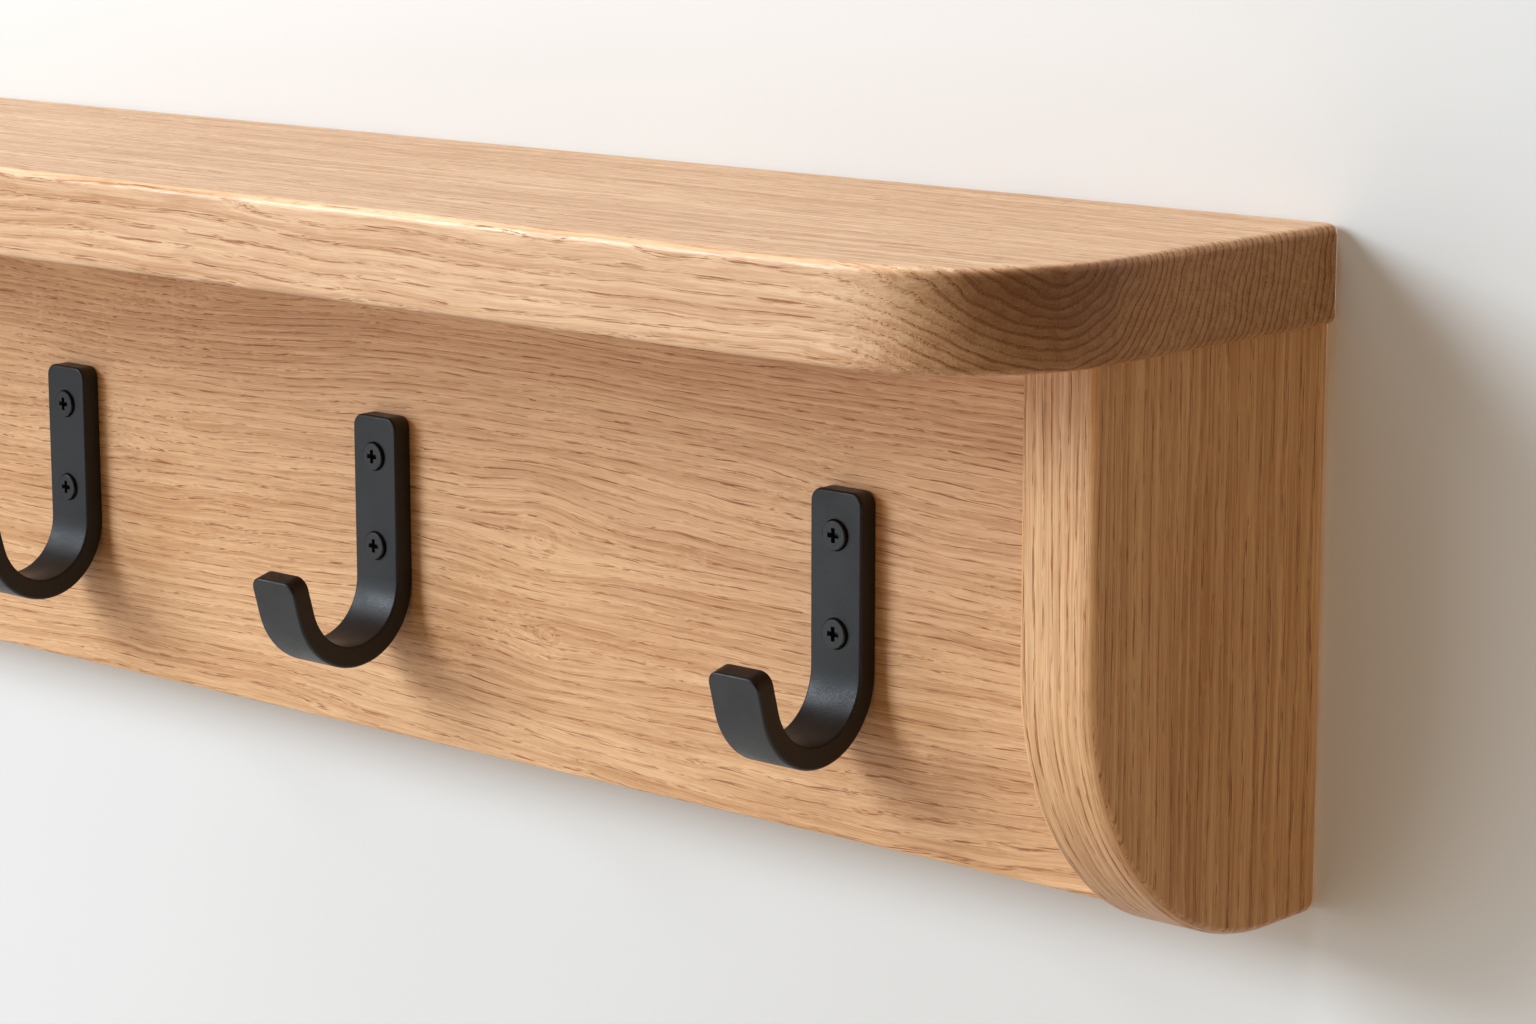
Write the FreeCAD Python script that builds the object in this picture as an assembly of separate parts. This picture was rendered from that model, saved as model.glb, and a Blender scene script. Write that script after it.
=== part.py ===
import FreeCAD, Part
import math
import os

# Wall hook rack: a shelf on two curved side brackets, with a back board that carries flat-bar J hooks.
# Millimetres. +Z is up, +Y points into the wall and the front faces -Y. The origin is on the wall
# plane, at the middle of the shelf's rear face.

# Driving dimensions
RACK_LENGTH = 860.0
RACK_HEIGHT = 197.0
SHELF_DEPTH = 155.0
SHELF_THICKNESS = 28.0
SHELF_CORNER_RADIUS = 52.0
SHELF_REAR_CORNER_RADIUS = 4.0
SHELF_EDGE_RADIUS = 2.8
SHELF_END_OVERHANG = 3.0

BRACKET_THICKNESS = 24.0
BRACKET_DEPTH = 108.0
BRACKET_CURVE_RADIUS = 85.0
BRACKET_REAR_CORNER_RADIUS = 4.0
BRACKET_OUTER_EDGE_RADIUS = 2.8
BRACKET_INNER_EDGE_RADIUS = 1.2

BOARD_THICKNESS = 24.0
BOARD_WALL_GAP = 8.0
BOARD_EDGE_RADIUS = 1.2

HOOK_POSITIONS = [-280.0, -80.0, 80.0, 280.0]
HOOK_WIDTH = 20.0
HOOK_BAR_THICKNESS = 7.0
HOOK_TOP_BELOW_SHELF = 60.0
HOOK_STRAIGHT_LENGTH = 54.6
HOOK_BEND_RADIUS = 22.0
HOOK_TIP_LEAN = 15.0
HOOK_TIP_LENGTH = 13.4
HOOK_CORNER_RADIUS = 4.2
HOOK_EDGE_RADIUS = 0.9
HOOK_SCREW_SPACING = 30.0
HOOK_SCREW_TOP_MARGIN = 13.5

SCREW_HEAD_RADIUS = 4.55
SCREW_HEAD_PROUD = 1.2
SCREW_HEAD_ROUNDING = 0.5
SCREW_LENGTH = 25.0
SCREW_CORE_RADIUS = 1.5
SCREW_THREAD_RADIUS = 2.15
SCREW_THREAD_PITCH = 2.0
SCREW_THREAD_TURNS = 8
SCREW_POINT_LENGTH = 3.0
THREAD_FLANK = 0.4
THREAD_ROOT_LENGTH = 1.2
COUNTERSINK_RADIUS = 4.9
HOOK_HOLE_RADIUS = 2.4
CROSS_SPAN = 4.5
CROSS_ARM_WIDTH = 1.5
CROSS_DEPTH = 2.2
CROSS_FLOOR_SHARE = 0.62

DOWEL_RADIUS = 4.0
DOWEL_LENGTH = 35.0
DOWEL_CLEARANCE = 0.05
DOWEL_END_GAP = 0.5
DOWEL_CHAMFER = 0.8
SHELF_DOWEL_DEPTH = 15.0
BRACKET_DOWEL_DEPTH = 12.0
BOARD_TOP_DOWEL_POSITIONS = [-360.0, -180.0, 0.0, 180.0, 360.0]
BOARD_END_DOWEL_DROPS = [32.0, 85.0, 138.0]
BRACKET_TOP_DOWEL_DEPTHS = [40.0, 82.0]

PLATE_WIDTH = 16.0
PLATE_HEIGHT = 46.0
PLATE_THICKNESS = 2.0
PLATE_CORNER_RADIUS = 3.0
PLATE_DROP = 60.0
KEYHOLE_ENTRY_RADIUS = 4.75
KEYHOLE_SLOT_WIDTH = 5.0
KEYHOLE_TRAVEL = 11.0
POCKET_WIDTH = 11.0
POCKET_HEIGHT = 26.0
POCKET_DEPTH = 9.0
PLATE_SCREW_SPACING = 37.0
PLATE_SCREW_HEAD_RADIUS = 3.0
PLATE_SCREW_SHANK_RADIUS = 1.5
PLATE_SCREW_LENGTH = 15.0
PLATE_SCREW_POINT_LENGTH = 3.0
PLATE_SCREW_SINK = 0.1
PLATE_SCREW_SLOT_WIDTH = 0.8
PLATE_SCREW_SLOT_DEPTH = 0.7
PLATE_HOLE_CLEARANCE = 0.1

# Derived levels and planes
SHELF_TOP = SHELF_THICKNESS / 2
SHELF_UNDERSIDE = -SHELF_THICKNESS / 2
BRACKET_BOTTOM = SHELF_TOP - RACK_HEIGHT
BRACKET_OUTER = RACK_LENGTH / 2 - SHELF_END_OVERHANG
BRACKET_INNER = BRACKET_OUTER - BRACKET_THICKNESS
BRACKET_MIDDLE = (BRACKET_OUTER + BRACKET_INNER) / 2
BOARD_REAR = -BOARD_WALL_GAP
BOARD_FRONT = BOARD_REAR - BOARD_THICKNESS
BOARD_MIDDLE = (BOARD_REAR + BOARD_FRONT) / 2
HOOK_FRONT = BOARD_FRONT - HOOK_BAR_THICKNESS
HOOK_TOP = SHELF_UNDERSIDE - HOOK_TOP_BELOW_SHELF
UPPER_SCREW = HOOK_TOP - HOOK_SCREW_TOP_MARGIN
LOWER_SCREW = UPPER_SCREW - HOOK_SCREW_SPACING
PLATE_CENTRE = SHELF_UNDERSIDE - PLATE_DROP

X_AXIS = FreeCAD.Vector(1, 0, 0)
Y_AXIS = FreeCAD.Vector(0, 1, 0)
Z_AXIS = FreeCAD.Vector(0, 0, 1)


def rounded_outline(corners, radii, place):
    """Closed wire through the corners, each with its own arc; place turns (u, v) into a 3-D point."""
    edges = []
    ends = []
    count = len(corners)
    for index in range(count):
        corner = FreeCAD.Vector(corners[index][0], corners[index][1], 0)
        before = FreeCAD.Vector(corners[index - 1][0], corners[index - 1][1], 0)
        after = FreeCAD.Vector(corners[(index + 1) % count][0], corners[(index + 1) % count][1], 0)
        inward = (before - corner).normalize()
        outward = (after - corner).normalize()
        radius = radii[index]
        if radius == 0:
            ends.append((corner, corner))
            continue
        half_angle = inward.getAngle(outward) / 2
        setback = radius / math.tan(half_angle)
        centre = corner + (inward + outward).normalize() * (radius / math.sin(half_angle))
        start = corner + inward * setback
        finish = corner + outward * setback
        middle = centre + (corner - centre).normalize() * radius
        edges.append(Part.Arc(place(start), place(middle), place(finish)).toShape())
        ends.append((start, finish))
    for index in range(count):
        start = ends[index][1]
        finish = ends[(index + 1) % count][0]
        edges.append(Part.makeLine(place(start), place(finish)))
    return Part.Wire(Part.__sortEdges__(edges))


def plan(height):
    """Placement of outline points on a level plane."""
    return lambda point: FreeCAD.Vector(point.x, point.y, height)


def side(x):
    """Placement of outline points (y, z) on an upright plane across the rack's length."""
    return lambda point: FreeCAD.Vector(x, point.x, point.y)


def front(x, y, z):
    """Placement of outline points (x, z) on a plane parallel to the wall, about a centre."""
    return lambda point: FreeCAD.Vector(x + point.x, y, z + point.y)


def rounded_rectangle(width, height, radius, place):
    """Closed wire of a rectangle about its centre, with equal corners."""
    corners = [
        (-width / 2, -height / 2),
        (width / 2, -height / 2),
        (width / 2, height / 2),
        (-width / 2, height / 2),
    ]
    return rounded_outline(corners, [radius] * 4, place)


def edges_in_plane(solid, axis, value):
    """Edges of the solid that lie wholly in the plane where the axis has the value."""
    found = []
    for edge in solid.Edges:
        box = edge.BoundBox
        low = getattr(box, axis + "Min")
        high = getattr(box, axis + "Max")
        if abs(low - value) < 0.01 and abs(high - value) < 0.01:
            found.append(edge)
    return found


def bore(radius, depth, mouth, direction):
    """Cylinder that starts at the mouth and runs along the direction."""
    return Part.makeCylinder(radius, depth, mouth, direction)


def turned(profile, mouth, inward):
    """Solid of revolution of (radius, depth) points about the line from mouth along inward."""
    points = [FreeCAD.Vector(radius, 0, depth) for radius, depth in profile]
    wire = Part.makePolygon(points + points[:1])
    solid = Part.Face(wire).revolve(FreeCAD.Vector(0, 0, 0), Z_AXIS, 360)
    turn = FreeCAD.Rotation(Z_AXIS, inward)
    solid.Placement = FreeCAD.Placement(mouth, turn)
    return solid


# Dowels
def dowel_sites(sign):
    """Joint face centres of the dowels on one side of the rack, sign -1 left and +1 right."""
    top = []
    for depth in BRACKET_TOP_DOWEL_DEPTHS:
        top.append(FreeCAD.Vector(sign * BRACKET_MIDDLE, -depth, SHELF_UNDERSIDE))
    end = []
    for drop in BOARD_END_DOWEL_DROPS:
        end.append(FreeCAD.Vector(sign * BRACKET_INNER, BOARD_MIDDLE, SHELF_UNDERSIDE - drop))
    return top, end


def dowel(joint, direction, depth):
    """Chamfered dowel that lies the given depth behind the joint face and the rest in front."""
    start = joint - direction * depth
    peg = Part.makeCylinder(DOWEL_RADIUS, DOWEL_LENGTH, start, direction)
    rims = [edge for edge in peg.Edges if isinstance(edge.Curve, Part.Circle)]
    return peg.makeChamfer(DOWEL_CHAMFER, rims)


def dowel_hole(joint, direction, depth):
    """Hole for one dowel, through both sides of its joint, a little longer and wider than it."""
    start = joint - direction * (depth + DOWEL_END_GAP)
    length = DOWEL_LENGTH + 2 * DOWEL_END_GAP
    return bore(DOWEL_RADIUS + DOWEL_CLEARANCE, length, start, direction)


def shelf_board_joints():
    return [FreeCAD.Vector(x, BOARD_MIDDLE, SHELF_UNDERSIDE) for x in BOARD_TOP_DOWEL_POSITIONS]


def all_dowel_holes():
    """Every dowel hole in the rack, cut from each wooden piece that it meets."""
    holes = [dowel_hole(joint, -Z_AXIS, SHELF_DOWEL_DEPTH) for joint in shelf_board_joints()]
    for sign in (-1, 1):
        top, end = dowel_sites(sign)
        inward = X_AXIS * -sign
        holes += [dowel_hole(joint, -Z_AXIS, SHELF_DOWEL_DEPTH) for joint in top]
        holes += [dowel_hole(joint, inward, BRACKET_DOWEL_DEPTH) for joint in end]
    return holes


# Hook screws
def hook_screw(x, z):
    """Raised-head cross-recess wood screw, driven along +Y through a hook's plate."""
    seat = COUNTERSINK_RADIUS - SCREW_HEAD_RADIUS
    neck = seat + SCREW_HEAD_RADIUS - SCREW_THREAD_RADIUS
    thread_end = SCREW_LENGTH - SCREW_POINT_LENGTH
    profile = [(0, -SCREW_HEAD_PROUD)]
    rim_steps = 4
    for step in range(rim_steps + 1):
        angle = math.pi / 2 * step / rim_steps
        radius = SCREW_HEAD_RADIUS - SCREW_HEAD_ROUNDING * (1 - math.sin(angle))
        depth = -SCREW_HEAD_PROUD + SCREW_HEAD_ROUNDING * (1 - math.cos(angle))
        profile.append((radius, depth))
    profile.append((SCREW_HEAD_RADIUS, seat))
    profile.append((SCREW_THREAD_RADIUS, neck))
    thread_start = thread_end - SCREW_THREAD_PITCH * SCREW_THREAD_TURNS
    for turn in range(SCREW_THREAD_TURNS):
        crest = thread_start + SCREW_THREAD_PITCH * turn
        profile.append((SCREW_THREAD_RADIUS, crest))
        profile.append((SCREW_CORE_RADIUS, crest + THREAD_FLANK))
        profile.append((SCREW_CORE_RADIUS, crest + THREAD_FLANK + THREAD_ROOT_LENGTH))
    profile.append((SCREW_THREAD_RADIUS, thread_end))
    profile.append((0, SCREW_LENGTH))
    mouth = FreeCAD.Vector(x, HOOK_FRONT, z)
    screw = turned(profile, mouth, Y_AXIS)
    return screw.cut(cross_recess(x, z))


def cross_recess(x, z):
    """Tapered cross cut into a screw's head."""
    top = HOOK_FRONT - SCREW_HEAD_PROUD - 0.01
    share = CROSS_FLOOR_SHARE
    arms = []
    for wide, tall in ((CROSS_SPAN, CROSS_ARM_WIDTH), (CROSS_ARM_WIDTH, CROSS_SPAN)):
        mouth = rounded_rectangle(wide, tall, 0, front(x, top, z))
        floor = rounded_rectangle(wide * share, tall * share, 0, front(x, top + CROSS_DEPTH, z))
        arms.append(Part.makeLoft([mouth, floor], True, True))
    return arms[0].fuse(arms[1])


# Wooden pieces
def shelf(holes):
    """Shelf with large front corners in plan and eased arrises all round."""
    half = RACK_LENGTH / 2
    corners = [(-half, 0), (half, 0), (half, -SHELF_DEPTH), (-half, -SHELF_DEPTH)]
    rear = SHELF_REAR_CORNER_RADIUS
    radii = [rear, rear, SHELF_CORNER_RADIUS, SHELF_CORNER_RADIUS]
    outline = rounded_outline(corners, radii, plan(SHELF_UNDERSIDE))
    board = Part.Face(outline).extrude(Z_AXIS * SHELF_THICKNESS)
    arrises = edges_in_plane(board, "Z", SHELF_TOP) + edges_in_plane(board, "Z", SHELF_UNDERSIDE)
    return board.makeFillet(SHELF_EDGE_RADIUS, arrises).cut(holes)


def bracket(sign, holes):
    """Side bracket whose lower front corner is one large curve, with the hanger's recess behind."""
    corners = [
        (0, SHELF_UNDERSIDE),
        (-BRACKET_DEPTH, SHELF_UNDERSIDE),
        (-BRACKET_DEPTH, BRACKET_BOTTOM),
        (0, BRACKET_BOTTOM),
    ]
    radii = [0, 0, BRACKET_CURVE_RADIUS, BRACKET_REAR_CORNER_RADIUS]
    outline = rounded_outline(corners, radii, side(sign * BRACKET_INNER))
    block = Part.Face(outline).extrude(X_AXIS * (sign * BRACKET_THICKNESS))
    block = block.makeFillet(BRACKET_OUTER_EDGE_RADIUS, bracket_arris(block, sign * BRACKET_OUTER))
    block = block.makeFillet(BRACKET_INNER_EDGE_RADIUS, bracket_arris(block, sign * BRACKET_INNER))
    return block.cut(holes + hanger_recess(sign))


def bracket_arris(block, x):
    """The run of edges on one side face, from the top front round to the top rear."""
    run = edges_in_plane(block, "X", x)
    return [edge for edge in run if edge.BoundBox.ZMin < SHELF_UNDERSIDE - 0.01]


def back_board(holes):
    """Board between the brackets, set off the wall, its bottom level with theirs."""
    length = 2 * BRACKET_INNER
    height = SHELF_UNDERSIDE - BRACKET_BOTTOM
    low = FreeCAD.Vector(-BRACKET_INNER, BOARD_FRONT, BRACKET_BOTTOM)
    board = Part.makeBox(length, BOARD_THICKNESS, height, low)
    lower = edges_in_plane(board, "Z", BRACKET_BOTTOM)
    long_edges = [edge for edge in lower if edge.Length > length - 1]
    board = board.makeFillet(BOARD_EDGE_RADIUS, long_edges)
    screws = [hook_screw(x, z) for x in HOOK_POSITIONS for z in (UPPER_SCREW, LOWER_SCREW)]
    return board.cut(holes + screws)


# Hooks
def hook(x):
    """J hook bent from flat bar, its free end leaning outwards, with rounded ends and arrises."""
    half = HOOK_BAR_THICKNESS / 2
    lean = math.radians(HOOK_TIP_LEAN)
    bend_y = HOOK_FRONT + half - HOOK_BEND_RADIUS
    bend_z = HOOK_TOP - HOOK_STRAIGHT_LENGTH

    def on_bend(radius, sweep):
        y = bend_y + radius * math.cos(sweep)
        z = bend_z - radius * math.sin(sweep)
        return FreeCAD.Vector(x - HOOK_WIDTH / 2, y, z)

    def flank(radius):
        """One long face of the bar in side view: top, bend and tip."""
        top = FreeCAD.Vector(x - HOOK_WIDTH / 2, bend_y + radius, HOOK_TOP)
        turn = math.pi - lean
        finish = on_bend(radius, turn)
        tip = finish + FreeCAD.Vector(0, -math.sin(lean), math.cos(lean)) * HOOK_TIP_LENGTH
        arc = Part.Arc(on_bend(radius, 0), on_bend(radius, turn / 2), finish).toShape()
        return top, tip, [Part.makeLine(top, on_bend(radius, 0)), arc, Part.makeLine(finish, tip)]

    outer_top, outer_tip, outer = flank(HOOK_BEND_RADIUS + half)
    inner_top, inner_tip, inner = flank(HOOK_BEND_RADIUS - half)
    ends = [Part.makeLine(outer_top, inner_top), Part.makeLine(outer_tip, inner_tip)]
    profile = Part.Wire(Part.__sortEdges__(outer + inner + ends))
    bar = Part.Face(profile).extrude(X_AXIS * HOOK_WIDTH)
    bar = bar.makeFillet(HOOK_CORNER_RADIUS, bar_corners(bar))
    bar = bar.makeFillet(HOOK_EDGE_RADIUS, bar_arrises(bar))
    holes = [hook_hole(x, z) for z in (UPPER_SCREW, LOWER_SCREW)]
    return bar.cut(holes)


def bar_corners(bar):
    """The four short edges across the bar's thickness, at its two ends."""
    found = []
    for edge in bar.Edges:
        across = edge.BoundBox.XLength < 0.01
        if across and abs(edge.Length - HOOK_BAR_THICKNESS) < 0.01:
            found.append(edge)
    return found


def bar_arrises(bar):
    """The long edges round both faces of the bar, with its rounded ends."""
    found = []
    for edge in bar.Edges:
        joins_corner = abs(edge.Length - HOOK_BAR_THICKNESS) < 0.01 and edge.BoundBox.XLength < 0.01
        joins_bend = abs(edge.Length - HOOK_WIDTH) < 0.01
        if not joins_corner and not joins_bend:
            found.append(edge)
    return found


def hook_hole(x, z):
    """Clearance hole with a countersink, open at the plate's front face."""
    cone = COUNTERSINK_RADIUS - HOOK_HOLE_RADIUS
    profile = [
        (0, -1),
        (COUNTERSINK_RADIUS, -1),
        (COUNTERSINK_RADIUS, 0),
        (HOOK_HOLE_RADIUS, cone),
        (HOOK_HOLE_RADIUS, HOOK_BAR_THICKNESS + 1),
        (0, HOOK_BAR_THICKNESS + 1),
    ]
    return turned(profile, FreeCAD.Vector(x, HOOK_FRONT, z), Y_AXIS)


# Keyhole hangers
def hanger_recess(sign):
    """Seat, pocket and screw holes for one keyhole plate, cut from the bracket's rear edge."""
    x = sign * BRACKET_MIDDLE
    seat_floor = front(x, -PLATE_THICKNESS, PLATE_CENTRE)
    pocket_floor = front(x, -PLATE_THICKNESS - POCKET_DEPTH, PLATE_CENTRE)
    seat = rounded_rectangle(PLATE_WIDTH, PLATE_HEIGHT, PLATE_CORNER_RADIUS, seat_floor)
    pocket = rounded_rectangle(POCKET_WIDTH, POCKET_HEIGHT, PLATE_CORNER_RADIUS, pocket_floor)
    cuts = [
        Part.Face(seat).extrude(Y_AXIS * (PLATE_THICKNESS + 1)),
        Part.Face(pocket).extrude(Y_AXIS * POCKET_DEPTH),
    ]
    return cuts + hanger_screws(sign)


def hanger_plate(sign):
    """Steel plate with a round entry, a narrow slot above it, and a countersunk hole at each end."""
    x = sign * BRACKET_MIDDLE
    rear_face = front(x, 0, PLATE_CENTRE)
    outline = rounded_rectangle(PLATE_WIDTH, PLATE_HEIGHT, PLATE_CORNER_RADIUS, rear_face)
    plate = Part.Face(outline).extrude(Y_AXIS * -PLATE_THICKNESS)
    through = PLATE_THICKNESS + 2
    entry = FreeCAD.Vector(x, 1, PLATE_CENTRE - KEYHOLE_TRAVEL / 2)
    crown = FreeCAD.Vector(x, 1, PLATE_CENTRE + KEYHOLE_TRAVEL / 2)
    slot_low = entry - X_AXIS * (KEYHOLE_SLOT_WIDTH / 2) - Y_AXIS * through
    cuts = [
        bore(KEYHOLE_ENTRY_RADIUS, through, entry, -Y_AXIS),
        bore(KEYHOLE_SLOT_WIDTH / 2, through, crown, -Y_AXIS),
        Part.makeBox(KEYHOLE_SLOT_WIDTH, through, KEYHOLE_TRAVEL, slot_low),
    ]
    radius = PLATE_SCREW_HEAD_RADIUS + PLATE_HOLE_CLEARANCE
    neck = PLATE_SCREW_SHANK_RADIUS + PLATE_HOLE_CLEARANCE
    for z in plate_screw_levels():
        profile = [(0, -1), (radius, -1), (radius, 0), (neck, radius - neck)]
        profile += [(neck, through), (0, through)]
        cuts.append(turned(profile, FreeCAD.Vector(x, 0, z), -Y_AXIS))
    return plate.cut(cuts)


def plate_screw_levels():
    return [PLATE_CENTRE - PLATE_SCREW_SPACING / 2, PLATE_CENTRE + PLATE_SCREW_SPACING / 2]


def hanger_screws(sign):
    """The two flat-head screws of one keyhole plate, driven forwards into the bracket."""
    screws = []
    neck = PLATE_SCREW_HEAD_RADIUS - PLATE_SCREW_SHANK_RADIUS + PLATE_SCREW_SINK
    profile = [
        (0, PLATE_SCREW_SINK),
        (PLATE_SCREW_HEAD_RADIUS, PLATE_SCREW_SINK),
        (PLATE_SCREW_SHANK_RADIUS, neck),
        (PLATE_SCREW_SHANK_RADIUS, PLATE_SCREW_LENGTH - PLATE_SCREW_POINT_LENGTH),
        (0, PLATE_SCREW_LENGTH),
    ]
    slot_floor = -PLATE_SCREW_SINK - PLATE_SCREW_SLOT_DEPTH
    for z in plate_screw_levels():
        mouth = FreeCAD.Vector(sign * BRACKET_MIDDLE, 0, z)
        low = FreeCAD.Vector(mouth.x - PLATE_SCREW_HEAD_RADIUS, slot_floor, z - PLATE_SCREW_SLOT_WIDTH / 2)
        slot = Part.makeBox(2 * PLATE_SCREW_HEAD_RADIUS, 1, PLATE_SCREW_SLOT_WIDTH, low)
        screws.append(turned(profile, mouth, -Y_AXIS).cut(slot))
    return screws


def save(node, shape):
    """Write one sub-part, after checking that each of its solids is sound."""
    solids = shape.Solids
    if not solids or not shape.isValid():
        raise ValueError(node + " is not a valid solid")
    shape.exportStep(os.path.join("parts", node + ".step"))
    print(node, len(solids), "solid(s)", round(shape.Volume / 1000, 2), "cm3")


def main():
    os.makedirs("parts", exist_ok=True)
    holes = all_dowel_holes()
    save("shelf", shelf(holes))
    save("back_board", back_board(holes))
    pegs = [dowel(joint, -Z_AXIS, SHELF_DOWEL_DEPTH) for joint in shelf_board_joints()]
    save("dowels_shelf_board", Part.makeCompound(pegs))
    for name, sign in (("left", -1), ("right", 1)):
        save("bracket_" + name, bracket(sign, holes))
        top, end = dowel_sites(sign)
        inward = X_AXIS * -sign
        upright = [dowel(joint, -Z_AXIS, SHELF_DOWEL_DEPTH) for joint in top]
        level = [dowel(joint, inward, BRACKET_DOWEL_DEPTH) for joint in end]
        save("dowels_shelf_" + name, Part.makeCompound(upright))
        save("dowels_board_" + name, Part.makeCompound(level))
        save("hanger_plate_" + name, hanger_plate(sign))
        save("hanger_screws_" + name, Part.makeCompound(hanger_screws(sign)))
    for number, x in enumerate(HOOK_POSITIONS, start=1):
        save("hook_%d" % number, hook(x))
        save("hook_%d_screw_upper" % number, hook_screw(x, UPPER_SCREW))
        save("hook_%d_screw_lower" % number, hook_screw(x, LOWER_SCREW))


main()
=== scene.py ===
import math

import bpy
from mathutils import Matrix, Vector


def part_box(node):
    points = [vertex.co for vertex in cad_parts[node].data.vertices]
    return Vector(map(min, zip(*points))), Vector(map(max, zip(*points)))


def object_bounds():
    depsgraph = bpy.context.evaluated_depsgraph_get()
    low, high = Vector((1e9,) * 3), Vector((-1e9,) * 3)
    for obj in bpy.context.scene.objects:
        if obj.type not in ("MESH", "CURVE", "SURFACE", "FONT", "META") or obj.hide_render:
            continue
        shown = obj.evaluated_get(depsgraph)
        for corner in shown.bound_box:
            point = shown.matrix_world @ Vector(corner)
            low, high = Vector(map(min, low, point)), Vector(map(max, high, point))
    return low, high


bl_info = {
    "name": "Wall hook rack",
    "version": (1, 0, 0),
    "blender": (4, 5, 0),
    "location": "3D View > Sidebar > Rack",
    "description": "Finishes for an oak wall shelf with flat-bar hooks, and a plain stage",
    "category": "Object",
}

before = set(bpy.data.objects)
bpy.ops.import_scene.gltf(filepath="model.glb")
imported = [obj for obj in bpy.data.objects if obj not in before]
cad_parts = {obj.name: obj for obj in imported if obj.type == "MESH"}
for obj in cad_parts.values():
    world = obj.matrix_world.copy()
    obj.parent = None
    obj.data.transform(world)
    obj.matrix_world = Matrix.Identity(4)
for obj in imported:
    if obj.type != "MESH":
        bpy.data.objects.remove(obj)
CAD_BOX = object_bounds()

MM = 0.001
SIDES = ("left", "right")
HOOK_NODES = sorted(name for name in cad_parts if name.startswith("hook_"))
HOOKS = [name for name in HOOK_NODES if "screw" not in name]
HOOK_SCREWS = [name for name in HOOK_NODES if "screw" in name]
DOWELS = sorted(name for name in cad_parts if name.startswith("dowels_"))

# Sizes of the oak's marks in millimetres, along, across and through the board
FIBRES = (60, 0.55, 0.55)
STREAKS = (150, 3.2, 3.2)
CLOUDS = (230, 45, 45)
LONG_PORES = (22.0, 0.32, 0.32)
SHORT_PORES = (7.0, 0.22, 0.22)
BROAD_SWING = (330, 70, 70)
MIDDLE_SWING = (70, 16, 16)
FINE_SWING = (22, 4.5, 4.5)
# Patches that break up the lighter edges: rubbed wear, and on the oak also a painted highlight
WEAR_AND_HIGHLIGHT_PATCHES = (9.0, 9.0, 9.0)

# Factors on the oak's colour where it is end grain, near the pith and on an eased edge, which is
# lighter for rubbed wear and a painted highlight along the arris
END_SOAK = (0.6, 0.5, 0.39, 1.0)
HEART_SHADE = (0.58, 0.52, 0.46, 1.0)
EDGE_WEAR_AND_HIGHLIGHT = (1.28, 1.3, 1.36, 1.0)

# Ring numbers, counted from the pith, between which the darker end grain fades out
HEART_OUTER = 17.0
HEART_INNER = 5.0

ZINC_DARK = (0.38, 0.39, 0.4, 1)
ZINC_LIGHT = (0.62, 0.62, 0.61, 1)
BRUSHED_LINES = (0.12, 0.12, 14.0)

# Stage, in metres
WALL_GAP = 0.5 * MM
STAGE_REACH = 6.0
FLOOR_GLOW = 0.4
AIM_FROM_END = 0.18
REAR_LIGHT_DISTANCE = 1.5
SENSOR_WIDTH = 36.0
CAMERA_FROM_CORNER = (0.6118, -0.7741, 0.1323)
AMBIENT_COLOUR = (1.0, 0.74, 0.47, 1)
REFLECTED_AMBIENT = 0.2
DAYLIGHT = (0.8, 0.9, 1.0)
WINDOW_DISTANCE = 3.6

# Name, place from the point aimed at, width and height, and colour of each light before the wall
FRONT_LIGHTS = (
    ("key", Vector((-0.64, -0.65, 0.41)) * WINDOW_DISTANCE, (1.5, 1.5), DAYLIGHT),
    ("window", Vector((-0.57, -0.82, 0.04)) * WINDOW_DISTANCE, (2.6, 2.0), DAYLIGHT),
    ("top", Vector((-0.1, -0.3, 2.0)), (1.6, 0.5), (0.9, 0.96, 1.0)),
    ("fill", Vector((-0.9, -1.6, -0.9)), (1.5, 1.5), (1.0, 0.96, 0.9)),
)


# Node trees

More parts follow.
